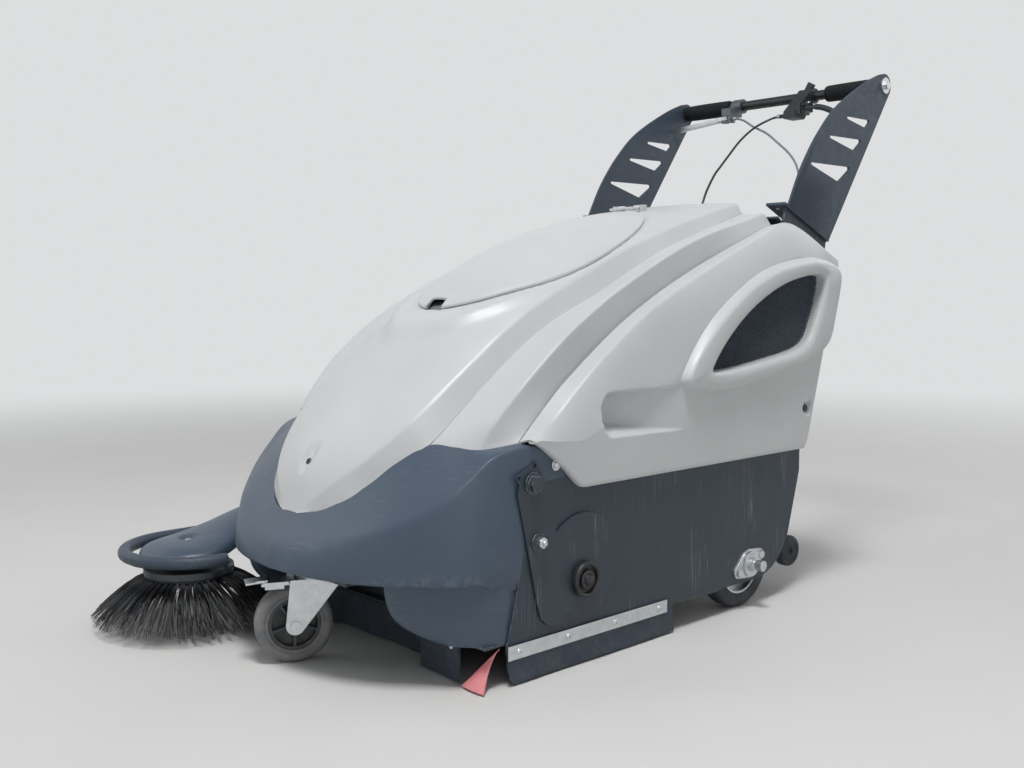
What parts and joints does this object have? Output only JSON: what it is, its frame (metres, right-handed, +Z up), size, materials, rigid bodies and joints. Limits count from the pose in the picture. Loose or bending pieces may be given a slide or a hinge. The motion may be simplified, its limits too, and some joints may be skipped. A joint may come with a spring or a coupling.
{
  "type": "walk behind sweeper",
  "caption": "Battery walk behind floor sweeper with domed hood, floating main brush, lifting side brush, swivel caster, driven axle and pull-out dust hopper.",
  "frame": {"origin": "middle of the outer box in plan, on the floor", "axes": "+Z up, -Y towards the front with the caster, +Y towards the operator, side brush on the -X side"},
  "size_m": [0.8384, 1.5283, 1.0632],
  "materials": {
    "pale_plastic": "satin moulded",
    "dark_plastic": "satin, scuffed",
    "dark_steel": "satin paint, scratched",
    "slate_steel": "satin powder coat",
    "zinc": "zinc plated",
    "dark_bolts": "painted over",
    "black_bar": "satin black",
    "foam": "foam",
    "black_plastic": "satin",
    "lever_metal": "satin cast",
    "grey_jacket": "satin",
    "black_jacket": "satin",
    "skirt_rubber": "matt",
    "coloured_rubber": "matt, dusty",
    "mesh": "satin black",
    "motor_paint": "satin",
    "filter_paper": "pleated paper",
    "belt_rubber": "matt",
    "brush_plastic": "moulded",
    "bristle": "nylon",
    "tyre_rubber": "dusty",
    "caster_rubber": "dusty grey",
    "hub_plastic": "moulded"
  },
  "bodies": {
    "chassis": {"chassis_frame": "dark_steel", "side_plate_left": "dark_steel", "side_plate_right": "dark_steel", "front_bumper": "dark_plastic", "hood": "pale_plastic", "side_panel_left": "pale_plastic", "side_panel_right": "pale_plastic", "vent_meshes": "mesh", "panel_screws": "zinc", "control_panel": "slate_steel", "rear_cover": "dark_steel", "arm_left": "slate_steel", "arm_right": "slate_steel", "arm_bolts": "zinc", "handlebar": "black_bar", "grips": "foam", "brake_clamp": "black_plastic", "drive_housing": "black_plastic", "brake_cable": "grey_jacket", "drive_cable": "black_jacket", "caster_plate": "zinc", "axle_bearings": "zinc", "pivot_studs": "dark_bolts", "side_skirts": "skirt_rubber", "skirt_strips": "zinc", "rubber_flaps": "skirt_rubber", "corner_flaps": "coloured_rubber", "brush_motor": "motor_paint", "drive_motor": "motor_paint", "batteries": "black_plastic", "suction_fan": "black_plastic", "panel_filter": "filter_paper", "side_arm_bracket": "dark_steel", "lid_hinge": "slate_steel"},
    "lid": {"lid": "pale_plastic"},
    "brush_cradle": {"brush_arm_left": "dark_steel", "brush_arm_right": "dark_steel", "brush_belt": "belt_rubber"},
    "main_brush": {"brush_core": "brush_plastic", "brush_bristles": "bristle", "brush_knobs": "black_plastic"},
    "motor_pulley": {"motor_pulley": "zinc"},
    "drive_axle": {"drive_axle": "zinc", "wheel_rims": "zinc", "wheel_tyres": "tyre_rubber"},
    "caster_fork": {"caster_fork": "zinc"},
    "caster_wheel": {"caster_tyre": "caster_rubber", "caster_hub": "hub_plastic"},
    "caster_brake": {"caster_brake": "zinc"},
    "side_arm": {"side_arm": "dark_steel", "side_brush_cover": "dark_plastic", "ring_guard": "dark_steel", "side_brush_motor": "motor_paint"},
    "side_brush": {"side_brush_disc": "brush_plastic", "side_brush_bristles": "bristle"},
    "hopper": {"hopper": "black_plastic"},
    "hopper_wheels": {"hopper_wheels": "tyre_rubber"},
    "brake_lever": {"brake_lever": "lever_metal"},
    "drive_lever": {"drive_lever": "black_plastic"},
    "key_switch": {"key_switch": "black_plastic"}
  },
  "joints": [
    {"name": "lid_hinge", "type": "hinge", "parent": "chassis", "child": "lid", "pos_m": [0.074, 0.218, 0.758], "axis": [-1, 0, 0], "range_deg": [0, 75]},
    {"name": "brush_float", "type": "hinge", "parent": "chassis", "child": "brush_cradle", "pos_m": [0.074, -0.358, 0.304], "axis": [1, 0, 0], "range_deg": [0, 3]},
    {"name": "brush_spin", "type": "hinge", "parent": "brush_cradle", "child": "main_brush", "pos_m": [0.074, -0.245, 0.138], "axis": [1, 0, 0], "continuous": true},
    {"name": "motor_pulley_spin", "type": "hinge", "parent": "chassis", "child": "motor_pulley", "pos_m": [-0.246, -0.358, 0.304], "axis": [1, 0, 0], "continuous": true},
    {"name": "axle_spin", "type": "hinge", "parent": "chassis", "child": "drive_axle", "pos_m": [0.074, 0.204, 0.085], "axis": [1, 0, 0], "continuous": true},
    {"name": "caster_swivel", "type": "hinge", "parent": "chassis", "child": "caster_fork", "pos_m": [0.074, -0.53, 0.133], "axis": [0, 0, 1], "continuous": true},
    {"name": "caster_spin", "type": "hinge", "parent": "caster_fork", "child": "caster_wheel", "pos_m": [0.05498, -0.57078, 0.0625], "axis": [0.9063, -0.4226, 0], "continuous": true},
    {"name": "caster_pedal", "type": "hinge", "parent": "caster_fork", "child": "caster_brake", "pos_m": [0.0554, -0.56988, 0.13], "axis": [0.9063, -0.4226, 0], "range_deg": [0, 10]},
    {"name": "side_arm_lift", "type": "hinge", "parent": "chassis", "child": "side_arm", "pos_m": [-0.256, -0.398, 0.205], "axis": [-1, 0, 0], "range_deg": [-2.5, 8]},
    {"name": "side_brush_spin", "type": "hinge", "parent": "side_arm", "child": "side_brush", "pos_m": [-0.251, -0.596, 0.098], "axis": [0, 0, 1], "continuous": true},
    {"name": "hopper_slide", "type": "slide", "parent": "chassis", "child": "hopper", "axis": [0, 1, 0], "range_m": [0, 0.55]},
    {"name": "hopper_wheel_spin", "type": "hinge", "parent": "hopper", "child": "hopper_wheels", "pos_m": [0.074, 0.4, 0.07], "axis": [1, 0, 0], "continuous": true},
    {"name": "brake_lever_pull", "type": "hinge", "parent": "chassis", "child": "brake_lever", "pos_m": [-0.038, 0.692, 0.998], "axis": [0, 0, -1], "range_deg": [0, 10], "stiffness_Nm_per_rad": 2},
    {"name": "drive_lever_pull", "type": "hinge", "parent": "chassis", "child": "drive_lever", "pos_m": [0.186, 0.692, 0.998], "axis": [0, 0, 1], "range_deg": [0, 10], "stiffness_Nm_per_rad": 1.5},
    {"name": "key_turn", "type": "hinge", "parent": "chassis", "child": "key_switch", "pos_m": [-0.046, 0.40698, 0.70198], "axis": [0, 0.5865, 0.8099], "range_deg": [0, 90]}
  ],
  "couplings": [
    {"joint": "motor_pulley_spin", "follows": "brush_spin", "ratio": 1.4}
  ]
}
